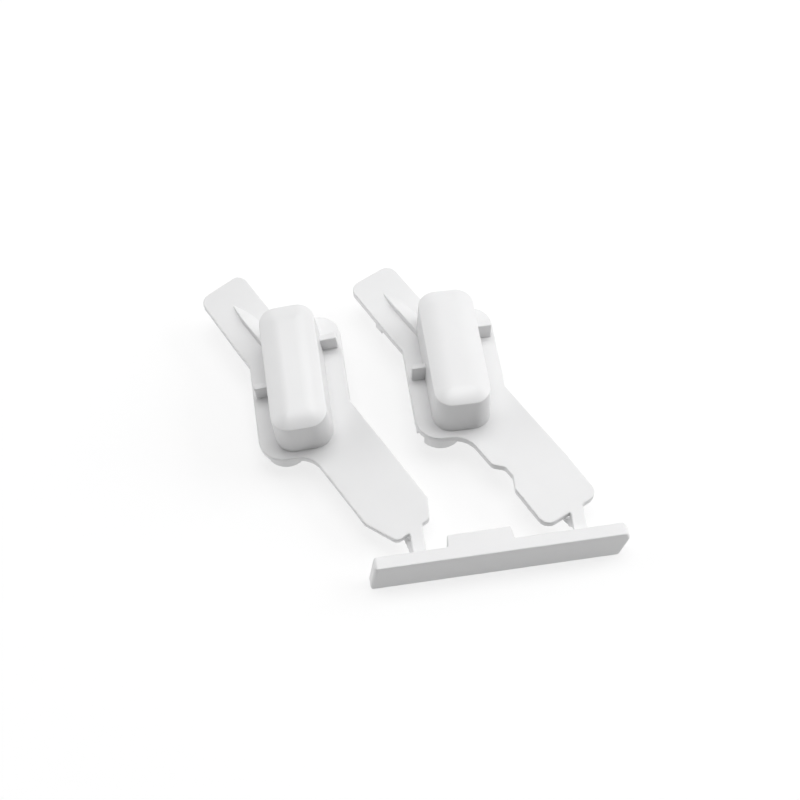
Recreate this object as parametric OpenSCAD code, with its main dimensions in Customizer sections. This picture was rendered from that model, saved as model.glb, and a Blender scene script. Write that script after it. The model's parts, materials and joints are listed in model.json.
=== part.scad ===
// Stair gate latch: one white moulding with two release levers on a common cross bar.
// Origin: middle of the cross bar's underside, on the surface it stands on. X runs along
// the bar, Y from the bar towards the levers' tails, Z up.

/* [Cross bar] */
// Length of the bar along its flat top
bar_length = 66.2; // [62:0.1:70]
// Width of the bar, front to back
bar_width = 3.8; // [3.4:0.1:4.4]
// Height of the bar
bar_height = 10.2; // [9.6:0.1:11]
// How far the left end slopes out from top to foot
bar_end_slope = 1.3; // [0:0.1:2]
// Width of the tab on the bar's back
tab_width = 17.5; // [12:0.5:20]
// How far the tab stands out behind the bar
tab_depth = 3.5; // [2:0.1:4]
// Height of the tab, down from the bar's top
tab_height = 7; // [4:0.5:9]

/* [Lever plate] */
// Thickness of the plate
plate_thickness = 2.2; // [2:0.1:2.6]
// Width of the flange round the button
flange_width = 25.8; // [25:0.1:27]
// Length of the flange round the button
flange_length = 41.8; // [41:0.1:43]
// Turn of the arm and tail from the button's long axis, degrees
strip_turn = 27.3; // [26:0.1:29]
// Width of the arm
arm_width = 17.5; // [17:0.1:18]
// Distance from the button's centre to the bend in the arm
bend_reach = 39.3; // [38:0.1:41]
// Distance from the button's centre to the arm's end
arm_reach = 52.8; // [52:0.1:54]
// Downward dip of the arm's end beyond the bend, degrees
toe_dip = 5; // [3:0.5:7]
// Width of the tail blade
tail_width = 14.2; // [13:0.1:15]
// Distance from the button's centre to the tail's tip
tail_reach = 40.2; // [39:0.1:42]

/* [Button] */
// Width of the button at its foot
button_width = 15.7; // [15:0.1:16]
// Length of the button at its foot
button_length = 38.4; // [37.6:0.1:39]
// Height of the button's wall above the plate
button_wall_height = 11.5; // [10:0.1:13]
// Height of the domed cap above the wall
cap_height = 1.6; // [1.2:0.1:1.8]
// Slope of the dome at its edge, degrees
cap_rim_slope = 30; // [28:1:34]
// Thickness of the button's wall
button_wall = 2; // [1.6:0.1:2.4]
// Height of the stop blocks above the plate
stop_height = 5.4; // [4:0.1:7]

/* [Underside] */
// Depth of the guide lip under the plate's rounded corner
lip_depth = 4.4; // [4:0.1:6]
// Outer diameter of the spring post
post_diameter = 7; // [6:0.1:8]
// Bore of the spring post
post_bore = 4; // [3:0.1:4.4]
// Depth of the spring post's bore
post_bore_depth = 10; // [6:0.5:12]

/* [Necks] */
// Width of each neck
neck_width = 3.6; // [3:0.1:4]
// Thickness of each neck
neck_thickness = 1.8; // [1.4:0.1:2]
// Distance of each neck from the button's centre, sideways
neck_offset = 25.3; // [25:0.1:25.6]

/* [Hidden] */
plastic = [0.95, 0.95, 0.95];
shaded_plastic = [0.88, 0.88, 0.89];
eps = 0.01;

// Rest places of the two levers: the middle of each button's foot on the plate's top
// face, and the turns about X, Y and Z. The left one has settled in a slight roll.
left_place = [-44.9, 56.4, 11];
left_turn = [5.7, -6.6, -1.8];
right_place = [-2.8, 55.1, 10.6];
right_turn = [0, 0, -1];

// Flange edges, measured from the button's centre
flange_left = 0.3 - flange_width / 2;
flange_right = 0.3 + flange_width / 2;
flange_back = flange_length / 2 + 0.1;
flange_front = 0.1 - flange_length / 2;
corner_radius = 7;
arm_half = arm_width / 2;
tail_half = tail_width / 2;
// Distances from the button's centre at which the flange ends and the arm and tail begin
arm_root = 24;
tail_root = 20.5;
// The right arm is a little wider before its notch
notched_half = 9.2;
notch_floor = 6.8;

// Button outlines
button_radius = 5.2;
button_draft = 0.35;
// The button reaches a little further back than forward from its spring post
button_shift = 0.3;
post_reach = 10.6;
neck_root = 49.4;
// Distance from each button's centre to its neck's bending axis, just behind the bar
left_neck_reach = 53.4;
right_neck_reach = 51.9;
arc_steps = 8;

// ---- Outline helpers ----
function unit(v) = v / norm(v);

function xy(p) = [p[0], p[1]];

// Points of a round corner of radius r at b, between the sides to a and c
function corner_arc(a, b, c, r) =
    let (
        u = unit(a - b), v = unit(c - b),
        half = acos(u * v) / 2,
        centre = b + unit(u + v) * r / sin(half),
        p = b + u * r / tan(half) - centre,
        q = b + v * r / tan(half) - centre,
        start = atan2(p[1], p[0]),
        sweep = (atan2(q[1], q[0]) - start + 540) % 360 - 180
    )
    [for (i = [0:arc_steps]) centre + r * [cos(start + sweep * i / arc_steps),
                                           sin(start + sweep * i / arc_steps)]];

// A closed outline from [x, y] or [x, y, radius] corners
function rounded(corners) =
    let (n = len(corners))
    [for (i = [0:n - 1])
        each (len(corners[i]) < 3
            ? [xy(corners[i])]
            : corner_arc(xy(corners[(i + n - 1) % n]), xy(corners[i]),
                         xy(corners[(i + 1) % n]), corners[i][2]))];

// A point given across and along the turned strip, in the lever's own frame
function strip(across, along, r = 0) =
    let (
        x = across * cos(strip_turn) - along * sin(strip_turn),
        y = across * sin(strip_turn) + along * cos(strip_turn)
    )
    r > 0 ? [x, y, r] : [x, y];

// Where the strip's edge at the given offset crosses a line of constant x or y
function strip_at_x(across, x) = [x, (across - x * cos(strip_turn)) / sin(strip_turn)];

function strip_at_y(across, y) = [(across - y * sin(strip_turn)) / cos(strip_turn), y];

elbow = strip_at_x(-tail_half, flange_left);
tail_inner = strip_at_y(tail_half + 0.2, flange_back);
arm_outer = strip_at_x(arm_half, flange_right);

function arm_inner(half) = strip_at_y(-half, flange_front);

// ---- Placing ----
module on_left() {
    translate(left_place) rotate(left_turn) children();
}

module on_right() {
    translate(right_place) rotate(right_turn) children();
}

// Tips its children down about the bend line across the arm
module past_bend() {
    rotate([0, 0, strip_turn])
        translate([0, -bend_reach, 0])
            rotate([toe_dip, 0, 0])
                translate([0, bend_reach, 0])
                    rotate([0, 0, -strip_turn])
                        children();
}

module plate(outline) {
    translate([0, 0, -plate_thickness])
        linear_extrude(plate_thickness)
            polygon(outline);
}

// ---- Cross bar ----
module cross_bar() {
    half = bar_length / 2;
    color(plastic)
        translate([0, bar_width / 2, 0])
            rotate([90, 0, 0])
                linear_extrude(bar_width)
                    polygon([
                        [-half - bar_end_slope, 0],
                        [half - 1.3, 0],
                        [half + 0.9, bar_height - 2.7],
                        [half, bar_height],
                        [-half, bar_height]
                    ]);
}

module bar_tab() {
    color(plastic)
        translate([-4.8, bar_width / 2, bar_height - tab_height])
            linear_extrude(tab_height)
                polygon(rounded([
                    [-tab_width / 2, 0], [tab_width / 2, 0],
                    [tab_width / 2 - 0.3, tab_depth, 0.4], [0.3 - tab_width / 2, tab_depth, 0.4]
                ]));
}

// ---- Necks ----
// A neck runs from the arm's stub to the bar. It ends in a half-round on its bending
// axis at the bar, and in a round core that it twists about at the stub. reach is the
// distance from the button's centre to the bending axis.
module neck(reach) {
    radius = neck_thickness / 2;
    core = 0.5;
    color(plastic)
        past_bend()
            translate([neck_offset, 0, -radius - 0.2]) {
                translate([-neck_width / 2, -reach, -radius])
                    cube([neck_width, reach - neck_root - core, neck_thickness]);
                translate([-neck_width / 2, -reach, 0])
                    rotate([0, 90, 0])
                        cylinder(r = radius, h = neck_width, $fn = 48);
                translate([0, -neck_root - 0.05, 0])
                    rotate([90, 0, 0])
                        cylinder(r = radius, h = core, $fn = 48);
            }
}

// A wedge under the neck, deepest at the arm, that spreads towards the left
module neck_gusset(reach) {
    deep = 2.6;
    color(shaded_plastic)
        past_bend()
            translate([neck_offset, 0, -neck_thickness - 0.2])
                hull() {
                    translate([-neck_width / 2, -neck_root - 0.5, -0.1])
                        cube([neck_width - 0.6, 0.45, 0.1]);
                    translate([-neck_width / 2 - 1.9, -neck_root - 0.5, -deep])
                        cube([neck_width, 0.45, 0.1]);
                    translate([-neck_width / 2, 0.9 - reach, -0.1])
                        cube([neck_width - 0.6, 0.1, 0.1]);
                    translate([-neck_width / 2 - 0.8, 1.4 - reach, -0.6])
                        cube([neck_width - 0.6, 0.1, 0.1]);
                }
}

// ---- Lever plates ----
module flange(half) {
    color(plastic)
        difference() {
            plate(rounded([
                elbow,
                [flange_left, flange_front, corner_radius],
                [each arm_inner(half), corner_radius],
                strip(-half, -arm_root),
                strip(arm_half, -arm_root),
                arm_outer,
                [flange_right, flange_back, 6.5],
                tail_inner,
                strip(tail_half + 0.2, tail_root),
                strip(-tail_half, tail_root)
            ]));
            translate([0, 0, -plate_thickness - 1])
                linear_extrude(plate_thickness + 2)
                    core_outline();
        }
}

module plain_arm() {
    color(plastic)
        plate([
            strip(-arm_half, -arm_root),
            strip(-arm_half, -bend_reach),
            strip(arm_half, -bend_reach),
            strip(arm_half, -arm_root)
        ]);
}

// The right arm's front edge has a shallow notch just before the bend
module notched_arm() {
    color(plastic)
        plate(rounded([
            strip(-notched_half, -arm_root),
            strip(-notched_half, -29.8, 2.4),
            strip(-notch_floor, -32.4, 1.6),
            strip(-notch_floor, -35.8, 1.8),
            strip(-arm_half, -bend_reach),
            strip(arm_half, -bend_reach),
            strip(arm_half, -arm_root)
        ]));
}

// The arm's end: a plate that dips from the bend, with a stub where the neck joins
module toe(corners) {
    color(plastic)
        difference() {
            past_bend() {
                difference() {
                    translate([0, 0, -plate_thickness])
                        linear_extrude(plate_thickness)
                            union() {
                                polygon(rounded(corners));
                                translate([neck_offset - neck_width / 2, -neck_root])
                                    square([neck_width, 4]);
                            }
                    for (side = [-1, 1])
                        translate([neck_offset + side * (neck_width / 2 + 0.4), 0.5 - neck_root,
                                   -plate_thickness - 1])
                            cylinder(d = 0.8, h = plate_thickness + 2, $fn = 32);
                }
            }
            rotate([0, 0, strip_turn])
                translate([-20, -bend_reach, -6])
                    cube([40, 6, 12]);
        }
}

module plain_toe() {
    toe([
        strip(-arm_half, -bend_reach),
        strip(-arm_half, -43.6, 2),
        strip(-4.8, -arm_reach, 2),
        strip(5.6, -arm_reach, 1.5),
        strip(arm_half, -47.6, 1.5),
        strip(arm_half, -bend_reach)
    ]);
}

module round_toe() {
    toe([
        strip(-arm_half, -bend_reach),
        strip(-arm_half, -arm_reach, 3.2),
        strip(arm_half, -arm_reach, 3),
        strip(arm_half, -bend_reach)
    ]);
}

module tail() {
    color(plastic)
        plate(rounded([
            strip(-tail_half, tail_root),
            strip(tail_half + 0.2, tail_root),
            strip(tail_half + 0.2, tail_reach, 3),
            strip(0.5 - tail_half, tail_reach, 3)
        ]));
}

// A fin along the tail: steep on its left, running out to nothing on its right
module tail_rib() {
    far = 27;
    near = 12;
    color(plastic)
        difference() {
            rotate([0, 0, strip_turn])
                polyhedron(
                    points = [
                        [-0.1, 33.5, 0],
                        [-1.1, far, 0], [2.6, far, 0], [-0.6, far, 1.2],
                        [-1.1, near, 0], [5.2, near, 0], [-0.5, near, 1.8]
                    ],
                    faces = [
                        [0, 2, 1], [1, 2, 5], [1, 5, 4], [0, 1, 3], [3, 1, 4], [3, 4, 6],
                        [0, 3, 2], [2, 3, 6], [2, 6, 5], [4, 5, 6]
                    ]
                );
            translate([0, 0, -1])
                linear_extrude(8)
                    button_outline(eps);
        }
}

// ---- Button ----
module button_outline(grow) {
    half_w = button_width / 2 + grow;
    half_l = button_length / 2 + grow;
    r = max(button_radius + grow, 0.3);
    translate([0, button_shift])
        polygon(rounded([
            [-half_w, -half_l, r], [half_w, -half_l, r], [half_w, half_l, r],
            [-half_w, half_l, r]
        ]));
}

module core_outline() {
    button_outline(-button_wall);
}

module button_wall() {
    color(plastic)
        difference() {
            hull() {
                linear_extrude(0.1)
                    button_outline(0);
                translate([0, 0, button_wall_height - 0.1])
                    linear_extrude(0.1)
                        button_outline(-button_draft);
            }
            translate([0, 0, -1])
                linear_extrude(button_wall_height + 2)
                    core_outline();
        }
}

// The cap is a low dome: its edge slopes at cap_rim_slope and eases to level at the middle
module button_cap() {
    radius = (cap_height - 0.1) / (1 - cos(cap_rim_slope));
    color(plastic)
        translate([0, 0, button_wall_height])
            hull()
                for (slope = [cap_rim_slope, 24, 18, 12, 6, 0])
                    translate([0, 0, radius * (cos(slope) - cos(cap_rim_slope))])
                        linear_extrude(0.1)
                            button_outline(-button_draft
                                           - radius * (sin(cap_rim_slope) - sin(slope)));
}

// ---- Stops beside the button ----
module upper_stop() {
    start = button_width / 2 + eps;
    color(plastic)
        translate([start, 10.2, 0])
            linear_extrude(stop_height)
                polygon(rounded([
                    [0, 0], [12.2 - start, 0, 0.3], [12.2 - start, 1.9, 0.3], [0, 1.9]
                ]));
}

module lower_stop() {
    end = button_width / 2 + eps;
    color(plastic)
        translate([-end, -1.2, 0])
            linear_extrude(stop_height)
                polygon(rounded([
                    [0, 0], [0, 1.6], [end - 11.6, 1.6, 0.3], [end - 11.6, 0, 0.3]
                ]));
}

// ---- Under the plate ----
// A curved lip under the flange's rounded corner
module guide_lip() {
    inner = 4.4;
    outer = 6.1;
    color(shaded_plastic)
        translate([-5.6, -13.7, -plate_thickness - lip_depth])
            rotate([0, 0, 215])
                rotate_extrude(angle = 103, $fn = 96)
                    translate([inner, 0])
                        square([outer - inner, lip_depth]);
}

module corner_lug() {
    color(shaded_plastic)
        translate([-12.3, -15.8, -plate_thickness - 1.8])
            cube([2.2, 2.4, 1.8]);
}

// A hook under the tail's left edge
module tail_lug() {
    color(shaded_plastic)
        rotate([0, 0, strip_turn])
            translate([0.3 - tail_half, 24, -plate_thickness - 1.9])
                cube([1.6, 3, 1.9]);
}

// A post that hangs inside the hollow button and takes the return spring's guide
module spring_post() {
    color(shaded_plastic)
        translate([0, 0, -post_reach])
            difference() {
                cylinder(d = post_diameter, h = post_reach + button_wall_height, $fn = 64);
                translate([0, 0, -1])
                    cylinder(d = post_bore, h = post_bore_depth + 1, $fn = 64);
            }
}

// Two ribs hold the post between the button's long walls
module post_ribs() {
    inner = button_width / 2 - button_wall - eps;
    start = post_diameter / 2 - 0.5;
    color(shaded_plastic)
        difference() {
            for (side = [0, 180])
                rotate([0, 0, side])
                    translate([start, -0.8, -plate_thickness])
                        cube([inner - start, 1.6, plate_thickness + button_wall_height]);
            translate([0, 0, -plate_thickness - 1])
                cylinder(d = post_diameter + 2 * eps, h = button_wall_height + 6, $fn = 64);
        }
}

// ---- Nodes ----
module left_neck() { on_left() neck(left_neck_reach); }
module left_neck_gusset() { on_left() neck_gusset(left_neck_reach); }
module left_toe() { on_left() plain_toe(); }
module left_arm() { on_left() plain_arm(); }
module left_flange() { on_left() flange(arm_half); }
module left_tail() { on_left() tail(); }
module left_tail_rib() { on_left() tail_rib(); }
module left_button_wall() { on_left() button_wall(); }
module left_button_cap() { on_left() button_cap(); }
module left_upper_stop() { on_left() upper_stop(); }
module left_lower_stop() { on_left() lower_stop(); }
module left_guide_lip() { on_left() guide_lip(); }
module left_corner_lug() { on_left() corner_lug(); }
module left_spring_post() { on_left() spring_post(); }
module left_post_ribs() { on_left() post_ribs(); }

module right_neck() { on_right() neck(right_neck_reach); }
module right_neck_gusset() { on_right() neck_gusset(right_neck_reach); }
module right_toe() { on_right() round_toe(); }
module right_arm() { on_right() notched_arm(); }
module right_flange() { on_right() flange(notched_half); }
module right_tail() { on_right() tail(); }
module right_tail_rib() { on_right() tail_rib(); }
module right_button_wall() { on_right() button_wall(); }
module right_button_cap() { on_right() button_cap(); }
module right_upper_stop() { on_right() upper_stop(); }
module right_lower_stop() { on_right() lower_stop(); }
module right_guide_lip() { on_right() guide_lip(); }
module right_corner_lug() { on_right() corner_lug(); }
module right_spring_post() { on_right() spring_post(); }
module right_post_ribs() { on_right() post_ribs(); }
module right_tail_lug() { on_right() tail_lug(); }

cross_bar();
bar_tab();
left_neck();
left_neck_gusset();
left_toe();
left_arm();
left_flange();
left_tail();
left_tail_rib();
left_button_wall();
left_button_cap();
left_upper_stop();
left_lower_stop();
left_guide_lip();
left_corner_lug();
left_spring_post();
left_post_ribs();
right_neck();
right_neck_gusset();
right_toe();
right_arm();
right_flange();
right_tail();
right_tail_rib();
right_button_wall();
right_button_cap();
right_upper_stop();
right_lower_stop();
right_guide_lip();
right_corner_lug();
right_spring_post();
right_post_ribs();
right_tail_lug();
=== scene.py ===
"""Looks of the stair gate latch: two release levers and a cross bar, moulded in one white plastic.

The bar, its tab, the necks and the plates are melted into one skin, whose edges and inner corners
are rounded as a mould leaves them. The skin is then cut back into one closed piece for each part.
The buttons keep the faces of the CAD nodes, with a small bevel along their sharp edges.
The small blocks, ribs, lips and posts are rounded one by one and rooted in what they stand on.
"""

import json
import math

import bmesh
import bpy
from mathutils import Matrix, Vector
from mathutils.bvhtree import BVHTree
from mathutils.interpolate import poly_3d_calc


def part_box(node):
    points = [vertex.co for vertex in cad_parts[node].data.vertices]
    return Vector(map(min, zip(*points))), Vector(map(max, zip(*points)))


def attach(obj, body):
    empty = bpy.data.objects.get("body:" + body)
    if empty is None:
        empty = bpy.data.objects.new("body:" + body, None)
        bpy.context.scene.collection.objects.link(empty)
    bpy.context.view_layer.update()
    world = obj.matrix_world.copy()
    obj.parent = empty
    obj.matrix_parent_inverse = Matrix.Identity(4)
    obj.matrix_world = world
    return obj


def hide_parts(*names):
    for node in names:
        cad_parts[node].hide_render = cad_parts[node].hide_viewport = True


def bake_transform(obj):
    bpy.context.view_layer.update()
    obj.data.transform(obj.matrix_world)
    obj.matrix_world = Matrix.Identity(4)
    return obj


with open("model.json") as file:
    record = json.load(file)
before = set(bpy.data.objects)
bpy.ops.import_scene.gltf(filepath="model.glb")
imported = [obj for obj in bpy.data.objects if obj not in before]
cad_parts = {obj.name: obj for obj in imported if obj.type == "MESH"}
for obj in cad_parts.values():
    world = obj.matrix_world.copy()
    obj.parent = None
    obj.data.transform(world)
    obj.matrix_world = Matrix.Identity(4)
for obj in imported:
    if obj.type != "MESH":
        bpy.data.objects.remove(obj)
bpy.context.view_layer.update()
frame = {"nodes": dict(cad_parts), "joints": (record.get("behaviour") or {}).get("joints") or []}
NODES = frame["nodes"]
MM = 0.001
SIDES = ("left", "right")

# All lengths below are in millimetres, up to the camera's.
# Rounding: a voxel size and a number of smoothing passes, for the skin and for the small parts
SKIN_VOXEL = 0.22
SKIN_PASSES = 4
DETAIL_VOXEL = 0.18
DETAIL_PASSES = 6
# Share of a rounded mesh's triangles that is kept
TRIANGLES_KEPT = 0.22

# Faces of two CAD nodes that lie nearer than this are taken to touch
TOUCH = 0.03
DETAIL_TOUCH = 0.15
# Depth to which a piece is let into what it stands on
ROOT = 0.6
# Two faces lie against each other only if the dot product of their normals is below this
FACING = -0.999
# Smallest change of length that counts when meshes are joined or cut
WELD = 0.0005

# Buttons: the bevel on their edges, the bend below which two faces count as one flat face,
# and the bend above which an edge is sharp
EDGE_ROUND = 0.22
FLAT_ANGLE = math.radians(0.3)
SHARP_ANGLE = math.radians(45)

# Cross bar: the cut behind it, the length of its two ends, and the bevel on them
BAR_CUT = 0.25
BAR_END = 3.0
BAR_ROUND = 0.9

# Necks, made longer at both ends so that they melt into the bar and the lever
NECK_PUSH = 0.9
BAR_PUSH = NECK_PUSH + 0.4
NECK_RISE = 0.2
# The neck's two ends: from this far before the twisting point, and up to this far past the
# bending point
LEVER_END = 0.7
BAR_SIDE = 0.1
# The gusset's lower edge lies this far below the twisting point, and runs on under the toe
GUSSET_DEPTH = 1.2
GUSSET_PUSH = 3.0

# A neck is shown in two halves. Shares of the way from its bending to its twisting point:
# where the halves meet, where the first has turned fully and where the second starts to turn
HALF_WAY = 0.5
LEVER_CUT = 0.05

# The camera looks down on the latch from the front left, in metres
AIM = Vector((-0.01736, 0.05541, 0.0))
CAMERA_TURN = math.radians(9.19)
CAMERA_HEIGHT = math.radians(56.15)
CAMERA_DISTANCE = 0.5513
LENS = 90.0

# Softboxes round the latch: turn from +X and height in degrees, power in watts. The powers
# began as a least-squares fit of the surfaces' brightness, and were then adjusted.
SOFTBOX_DISTANCE = 2.0
SOFTBOX_SIZE = 1.3
SOFTBOXES = (
    (6, 30, 20.0), (45, 30, 4.4), (90, 30, 2.0), (135, 30, 5.0), (170, 30, 10.5), (315, 30, 1.8),
    (0, 55, 5.0), (45, 55, 3.0), (270, 55, 1.0), (90, 80, 21.5),
)
WORLD_STRENGTH = 0.005

# The floor, which glows a little so that it stays white: half its side in metres
FLOOR_HALF = 15.0
FLOOR_GREY = 0.28
FLOOR_GLOW = 0.7

# Moulded plastic: index of refraction, how much darker its clouds are, and how far the
# roughness varies either way
PLASTIC_IOR = 1.49
CLOUD_SHADE = 0.975
GLOSS_SPREAD = 0.03


# ---- Meshes from the CAD nodes ----
def cad_copy(*names):
    """One bmesh, in millimetres, with a copy of each named CAD node in it."""
    bm = bmesh.new()
    for name in names:
        bm.from_mesh(NODES[name].data)
    bmesh.ops.scale(bm, vec=Vector((1, 1, 1)) / MM, verts=bm.verts)
    bmesh.ops.remove_doubles(bm, verts=bm.verts, dist=WELD)
    bm.normal_update()
    return bm


def tree_of(name):
    """A search tree of a CAD node's faces."""
    bm = cad_copy(name)
    tree = BVHTree.FromBMesh(bm)
    bm.free()
    return tree


TREES = {name: tree_of(name) for name in NODES}


def touching_faces(bm, neighbour, reach=TOUCH):
    """Faces of bm that lie against the named CAD node."""
    found = []
    for face in bm.faces:
        _, normal, _, distance = TREES[neighbour].find_nearest(face.calc_center_median(), 1.0)
        if normal is not None and distance < reach and face.normal.dot(normal) < FACING:
            found.append(face)
    return found


def seam(name, neighbour):
    """The plane in which two CAD nodes meet: a point on it and the direction out of name."""
    bm = cad_copy(name)
    faces = touching_faces(bm, neighbour)
    if not faces:
        raise ValueError(f"{name} does not touch {neighbour}")
    area = sum(face.calc_area() for face in faces)
    point = sum((face.calc_center_median() * face.calc_area() for face in faces), Vector()) / area
    normal = sum((face.normal * face.calc_area() for face in faces), Vector()).normalized()
    bm.free()
    return point, normal


def root_into(bm, neighbour):
    """Lengthens bm into the neighbour it stands on, so that no gap shows at its rounded foot."""
    faces = touching_faces(bm, neighbour, DETAIL_TOUCH)
    if not faces:
        return
    normal = sum((face.normal * face.calc_area() for face in faces), Vector()).normalized()
    new = bmesh.ops.extrude_face_region(bm, geom=faces)
    moved = [part for part in new["geom"] if isinstance(part, bmesh.types.BMVert)]
    bmesh.ops.translate(bm, vec=normal * ROOT, verts=moved)
    bmesh.ops.delete(bm, geom=faces, context="FACES")
    bm.normal_update()


# ---- Rounding ----
class Surface:
    """A finely divided rounded surface, kept to read smooth normals from."""

    def __init__(self, mesh):
        self.places = [vert.co.copy() for vert in mesh.vertices]
        self.normals = [vert.normal.copy() for vert in mesh.vertices]
        self.faces = [tuple(face.vertices) for face in mesh.polygons]
        self.tree = BVHTree.FromPolygons(self.places, self.faces)

    def normal_at(self, place):
        """The surface's smooth normal at the point of it that is nearest to place."""
        near, _, index, _ = self.tree.find_nearest(place)
        corners = self.faces[index]
        weights = poly_3d_calc([self.places[i] for i in corners], near)
        return sum((self.normals[i] * w for i, w in zip(corners, weights)), Vector()).normalized()


def shaped_mesh(obj):
    """A new mesh of obj with its modifiers applied."""
    bpy.context.view_layer.update()
    return bpy.data.meshes.new_from_object(obj.evaluated_get(bpy.context.evaluated_depsgraph_get()))


def moulded(bm, voxel, passes):
    """Melts the solids in bm into one and rounds every edge and inner corner.

    Gives a thinned mesh of the result, and the fine surface that its shading is read from.
    """
    mesh = bpy.data.meshes.new("moulding")
    bm.to_mesh(mesh)
    bm.free()
    obj = bpy.data.objects.new("moulding", mesh)
    bpy.context.scene.collection.objects.link(obj)
    remesh = obj.modifiers.new("melt", "REMESH")
    remesh.mode = "VOXEL"
    remesh.voxel_size = voxel
    smooth = obj.modifiers.new("round", "SMOOTH")
    smooth.factor = 0.5
    smooth.iterations = passes
    fine = shaped_mesh(obj)
    surface = Surface(fine)
    thin = obj.modifiers.new("thin", "DECIMATE")
    thin.ratio = TRIANGLES_KEPT
    shaped = shaped_mesh(obj)
    result = bmesh.new()
    result.from_mesh(shaped)
    for face in result.faces:
        face.smooth = True
    bpy.data.objects.remove(obj)
    for old in (mesh, fine, shaped):
        bpy.data.meshes.remove(old)
    return result, surface


def cut_off(bm, point, normal):
    """The half of bm on the far side of a plane, closed with a flat face."""
    half = bm.copy()
    bmesh.ops.bisect_plane(
        half, geom=half.verts[:] + half.edges[:] + half.faces[:],
        dist=WELD, plane_co=point, plane_no=normal, clear_inner=True,
    )
    rim = [edge for edge in half.edges if edge.is_boundary]
    filled = bmesh.ops.triangle_fill(half, use_beauty=True, edges=rim, normal=-normal)["geom"]
    for face in filled:
        if isinstance(face, bmesh.types.BMFace):
            face.smooth = False
            face.normal_update()
            if face.normal.dot(normal) > 0:
                face.normal_flip()
    return half


def split(bm, point, normal):
    """Two closed halves of bm: behind the plane, and in front of it."""
    behind = cut_off(bm, point, -normal)
    front = cut_off(bm, point, normal)
    bm.free()
    return behind, front


def islands(bm):
    """The separate lumps of bm, each as its own bmesh."""
    bm.verts.index_update()
    seen = set()
    lumps = []
    for start in bm.verts:
        if start.index in seen:
            continue
        lump = {start.index}
        queue = [start]
        while queue:
            for edge in queue.pop().link_edges:
                for vert in edge.verts:
                    if vert.index not in lump:
                        lump.add(vert.index)
                        queue.append(vert)
        seen |= lump
        part = bm.copy()
        part.verts.ensure_lookup_table()
        bmesh.ops.delete(part, geom=[v for v in part.verts if v.index not in lump], context="VERTS")
        lumps.append(part)
    bm.free()
    return lumps


def middle(bm):
    """The mean place of bm's points."""
    return sum((vert.co for vert in bm.verts), Vector()) / len(bm.verts)


def take_nearest(lumps, name):
    """Takes the lump whose middle is nearest to the middle of a CAD node."""
    low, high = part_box(name)
    goal = (low + high) / 2 / MM
    found = min(lumps, key=lambda lump: (middle(lump) - goal).length)
    lumps.remove(found)
    return found


# ---- Materials ----
def moulded_white(name, colour, roughness, grain):
    """White moulded plastic: faint cloudiness in the colour, flow marks and a fine mould grain."""
    material = bpy.data.materials.new(name)
    material.use_nodes = True
    nodes = material.node_tree.nodes
    link = material.node_tree.links.new
    shader = nodes["Principled BSDF"]
    shader.inputs["IOR"].default_value = PLASTIC_IOR
    shader.inputs["Specular IOR Level"].default_value = 0.5
    place = nodes.new("ShaderNodeTexCoord")

    cloud = nodes.new("ShaderNodeTexNoise")
    cloud.inputs["Scale"].default_value = 55.0
    cloud.inputs["Detail"].default_value = 3.0
    link(place.outputs["Object"], cloud.inputs["Vector"])
    tint = nodes.new("ShaderNodeValToRGB")
    tint.color_ramp.elements[0].position = 0.3
    tint.color_ramp.elements[0].color = [c * CLOUD_SHADE for c in colour] + [1]
    tint.color_ramp.elements[1].position = 0.7
    tint.color_ramp.elements[1].color = list(colour) + [1]
    link(cloud.outputs["Fac"], tint.inputs["Fac"])
    link(tint.outputs["Color"], shader.inputs["Base Color"])

    wear = nodes.new("ShaderNodeTexNoise")
    wear.inputs["Scale"].default_value = 240.0
    wear.inputs["Detail"].default_value = 5.0
    link(place.outputs["Object"], wear.inputs["Vector"])
    gloss = nodes.new("ShaderNodeMapRange")
    gloss.inputs["To Min"].default_value = roughness - GLOSS_SPREAD
    gloss.inputs["To Max"].default_value = roughness + GLOSS_SPREAD
    link(wear.outputs["Fac"], gloss.inputs["Value"])
    link(gloss.outputs["Result"], shader.inputs["Roughness"])

    fine = nodes.new("ShaderNodeTexNoise")
    fine.inputs["Scale"].default_value = 5200.0
    fine.inputs["Detail"].default_value = 2.0
    link(place.outputs["Object"], fine.inputs["Vector"])
    flow = nodes.new("ShaderNodeTexNoise")
    flow.inputs["Scale"].default_value = 120.0
    flow.inputs["Detail"].default_value = 1.0
    link(place.outputs["Object"], flow.inputs["Vector"])
    grain_bump = nodes.new("ShaderNodeBump")
    grain_bump.inputs["Strength"].default_value = grain
    grain_bump.inputs["Distance"].default_value = 0.00001
    link(fine.outputs["Fac"], grain_bump.inputs["Height"])
    flow_bump = nodes.new("ShaderNodeBump")
    flow_bump.inputs["Strength"].default_value = 0.15
    flow_bump.inputs["Distance"].default_value = 0.00006
    link(flow.outputs["Fac"], flow_bump.inputs["Height"])
    link(grain_bump.outputs["Normal"], flow_bump.inputs["Normal"])
    link(flow_bump.outputs["Normal"], shader.inputs["Normal"])
    return material


MATERIALS = {
    "plastic_white": moulded_white("plastic_white", (0.735, 0.735, 0.738), 0.38, 0.5),
    "button_gloss": moulded_white("button_gloss", (0.75, 0.75, 0.753), 0.32, 0.1),
}


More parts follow.
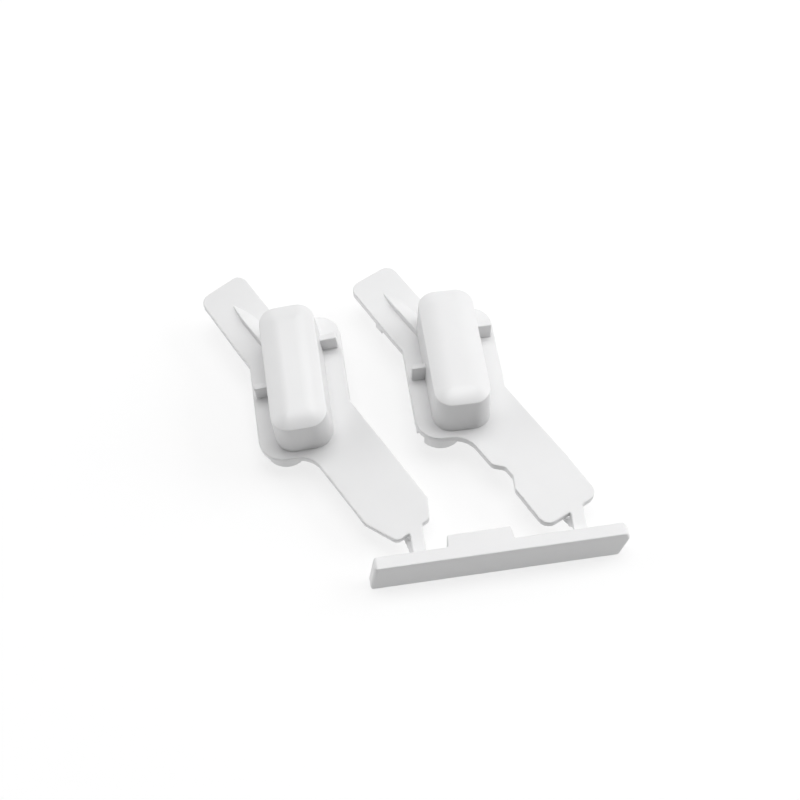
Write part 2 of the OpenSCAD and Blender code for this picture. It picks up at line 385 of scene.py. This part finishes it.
# ---- Pieces ----
def finish_piece(bm, surface, name, slot, replaced):
    """A shown piece in metres, with its material; the CAD nodes that it replaces are hidden.

    Where a fine surface is given, the piece is shaded from it, and its cut faces stay flat.
    """
    mesh = bpy.data.meshes.new(name)
    bm.to_mesh(mesh)
    bm.free()
    if surface:
        smooth = [surface.normal_at(vert.co) for vert in mesh.vertices]
        normals = []
        for face in mesh.polygons:
            normals += [smooth[i] if face.use_smooth else face.normal.copy() for i in face.vertices]
        mesh.polygons.foreach_set("use_smooth", [True] * len(mesh.polygons))
        mesh.normals_split_custom_set(normals)
    mesh.transform(Matrix.Scale(MM, 4))
    obj = bpy.data.objects.new(name, mesh)
    bpy.context.scene.collection.objects.link(obj)
    if not surface:
        obj.modifiers.new("even_shading", "WEIGHTED_NORMAL")
    mesh.materials.append(MATERIALS[slot])
    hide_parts(*replaced)
    return obj


def riding_piece(bm, surface, name, slot, body):
    """A piece that stands for the CAD node of its own name and moves with a body."""
    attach(finish_piece(bm, surface, name, slot, (name,)), body)


def joint(name):
    """The frame's row for the named joint."""
    return next(item for item in frame["joints"] if item["name"] == name)


def neck_axis(side):
    """The neck's bending point, its twisting point and the direction from the bar to the lever."""
    bend = Vector(joint(f"{side}_neck_bend")["pos_m"]) / MM
    twist = Vector(joint(f"{side}_neck_twist")["pos_m"]) / MM
    return bend, twist, (twist - bend).normalized()


def stretched_neck(side):
    """The neck and its gusset, made longer at both ends so that they melt into their neighbours."""
    bend, twist, along = neck_axis(side)
    bm = cad_copy(f"{side}_neck", f"{side}_neck_gusset")
    for vert in bm.verts:
        reach = (vert.co - twist).dot(along)
        if reach > -LEVER_END:
            under = twist.z - vert.co.z > GUSSET_DEPTH
            vert.co += along * (GUSSET_PUSH if under else NECK_PUSH)
        elif (vert.co - bend).dot(along) < BAR_SIDE:
            vert.co -= along * BAR_PUSH
        vert.co.z += NECK_RISE
    return bm


def rounded_bar():
    """The bar with its two ends rounded off."""
    bm = cad_copy("cross_bar")
    bmesh.ops.dissolve_limit(bm, angle_limit=0.01, verts=bm.verts, edges=bm.edges)
    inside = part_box("cross_bar")[1].x / MM - BAR_END
    edges = []
    for edge in bm.edges:
        ends = [vert.co.x for vert in edge.verts]
        if min(abs(x) for x in ends) > inside and abs(ends[0] - ends[1]) < BAR_END:
            edges.append(edge)
    bmesh.ops.bevel(bm, geom=edges, offset=BAR_ROUND, segments=4, profile=0.5, affect="EDGES")
    return bm


def skin():
    """The bar, tab, necks and plates, which are one thin moulding, melted together."""
    names = ["bar_tab"]
    for side in SIDES:
        names += [f"{side}_{part}" for part in ("toe", "arm", "flange", "tail")]
    bm = cad_copy(*names)
    for part in (rounded_bar(), stretched_neck("left"), stretched_neck("right")):
        mesh = bpy.data.meshes.new("part")
        part.to_mesh(mesh)
        part.free()
        bm.from_mesh(mesh)
        bpy.data.meshes.remove(mesh)
    return moulded(bm, SKIN_VOXEL, SKIN_PASSES)


def build_lever(lever, surface, side):
    """Cuts one lever, with its neck, into its parts."""
    bend, twist, along = neck_axis(side)
    body = f"{side}_lever"

    root, lever = split(lever, bend.lerp(twist, HALF_WAY), along)
    tip, lever = split(lever, twist - along * LEVER_CUT, along)
    name = f"{side}_neck"
    root = finish_piece(root, surface, name, "plastic_white", (name,))
    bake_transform(root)
    name = f"{side}_neck_gusset"
    tip = finish_piece(tip, surface, name, "plastic_white", (name,))
    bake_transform(tip)

    lever, toe = split(lever, *seam(f"{side}_arm", f"{side}_toe"))
    riding_piece(toe, surface, f"{side}_toe", "plastic_white", body)
    for part in ("arm", "tail"):
        lever, strip = split(lever, *seam(f"{side}_flange", f"{side}_{part}"))
        riding_piece(strip, surface, f"{side}_{part}", "plastic_white", body)
    riding_piece(lever, surface, f"{side}_flange", "plastic_white", body)


def bevelled(bm, point, up):
    """bm let into what it stands on at point, with its other sharp edges rounded a little."""
    bmesh.ops.dissolve_limit(bm, angle_limit=FLAT_ANGLE, verts=bm.verts, edges=bm.edges)
    edges = []
    for edge in bm.edges:
        above = max((vert.co - point).dot(up) for vert in edge.verts)
        if above > TOUCH and edge.calc_face_angle(0) > SHARP_ANGLE:
            edges.append(edge)
    for vert in bm.verts:
        if (vert.co - point).dot(up) < TOUCH:
            vert.co -= up * ROOT
    bmesh.ops.bevel(
        bm, geom=edges, offset=EDGE_ROUND, segments=3, profile=0.5, affect="EDGES",
        clamp_overlap=True,
    )
    for face in bm.faces:
        face.smooth = True
    return bm


def build_button(side):
    """The wall and the domed cap, each let into what it stands on, so that crisp edges show."""
    for part, below, slot in (
        ("button_wall", "flange", "plastic_white"), ("button_cap", "button_wall", "button_gloss"),
    ):
        name = f"{side}_{part}"
        piece = bevelled(cad_copy(name), *seam(f"{side}_{below}", name))
        riding_piece(piece, None, name, slot, f"{side}_lever")


def build_skin():
    """The skin's pieces, and the buttons that stand on them."""
    melted, surface = skin()
    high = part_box("cross_bar")[1]
    back_face = Vector((0, high.y / MM + BAR_CUT, 0))
    bar, rest = split(melted, back_face, Vector((0, 1, 0)))
    riding_piece(bar, surface, "cross_bar", "plastic_white", "bar")
    lumps = islands(rest)
    riding_piece(take_nearest(lumps, "bar_tab"), surface, "bar_tab", "plastic_white", "bar")
    for side in SIDES:
        build_lever(take_nearest(lumps, f"{side}_flange"), surface, side)
        build_button(side)


def build_details():
    """The small parts that stand on a lever, each with the neighbours it is rooted in."""
    stands_on = {
        "tail_rib": ("flange", "tail", "button_wall"),
        "upper_stop": ("flange", "button_wall"),
        "lower_stop": ("flange", "button_wall"),
        "guide_lip": ("flange",),
        "corner_lug": ("flange",),
        "spring_post": ("button_cap",),
        "post_ribs": ("button_wall", "spring_post", "button_cap"),
        "tail_lug": ("tail",),
    }
    for side in SIDES:
        for part, neighbours in stands_on.items():
            name = f"{side}_{part}"
            if name not in NODES:
                continue
            bm = cad_copy(name)
            for neighbour in neighbours:
                root_into(bm, f"{side}_{neighbour}")
            rounded, surface = moulded(bm, DETAIL_VOXEL, DETAIL_PASSES)
            riding_piece(rounded, surface, name, "plastic_white", f"{side}_lever")


# ---- Stage, lights and camera ----
def build_floor():
    mesh = bpy.data.meshes.new("floor")
    corners = [(x * FLOOR_HALF, y * FLOOR_HALF, 0) for x, y in ((-1, -1), (1, -1), (1, 1), (-1, 1))]
    mesh.from_pydata(corners, [], [(0, 1, 2, 3)])
    floor = bpy.data.objects.new("floor", mesh)
    bpy.context.scene.collection.objects.link(floor)
    material = bpy.data.materials.new("floor_white")
    material.use_nodes = True
    shader = material.node_tree.nodes["Principled BSDF"]
    shader.inputs["Base Color"].default_value = (FLOOR_GREY, FLOOR_GREY, FLOOR_GREY, 1)
    shader.inputs["Roughness"].default_value = 0.9
    shader.inputs["Specular IOR Level"].default_value = 0.0
    shader.inputs["Emission Color"].default_value = (1, 1, 1, 1)
    shader.inputs["Emission Strength"].default_value = FLOOR_GLOW
    mesh.materials.append(material)


def soft_light(turn, height, power):
    """A square softbox that faces the latch, placed by its turn from +X and its height, in degrees."""
    light = bpy.data.lights.new("softbox", "AREA")
    light.shape = "SQUARE"
    light.size = SOFTBOX_SIZE
    light.energy = power
    obj = bpy.data.objects.new("softbox", light)
    bpy.context.scene.collection.objects.link(obj)
    turn, height = math.radians(turn), math.radians(height)
    away = Vector((
        math.cos(turn) * math.cos(height), math.sin(turn) * math.cos(height), math.sin(height),
    ))
    obj.location = AIM + away * SOFTBOX_DISTANCE
    obj.rotation_euler = away.to_track_quat("Z", "Y").to_euler()


def build_camera():
    camera = bpy.data.cameras.new("camera")
    camera.lens = LENS
    camera.sensor_width = 36.0
    camera.clip_start = 0.01
    obj = bpy.data.objects.new("camera", camera)
    bpy.context.scene.collection.objects.link(obj)
    back = Vector((
        -math.sin(CAMERA_TURN) * math.cos(CAMERA_HEIGHT),
        -math.cos(CAMERA_TURN) * math.cos(CAMERA_HEIGHT),
        math.sin(CAMERA_HEIGHT),
    ))
    obj.location = AIM + back * CAMERA_DISTANCE
    obj.rotation_euler = back.to_track_quat("Z", "Y").to_euler()
    bpy.context.scene.camera = obj


def build_lights():
    world = bpy.data.worlds.new("studio")
    world.use_nodes = True
    background = world.node_tree.nodes["Background"]
    background.inputs["Color"].default_value = (1, 1, 1, 1)
    background.inputs["Strength"].default_value = WORLD_STRENGTH
    bpy.context.scene.world = world
    bpy.context.scene.view_settings.view_transform = "Standard"
    for turn, height, power in SOFTBOXES:
        soft_light(turn, height, power)


build_camera()
build_lights()
build_floor()
build_skin()
build_details()
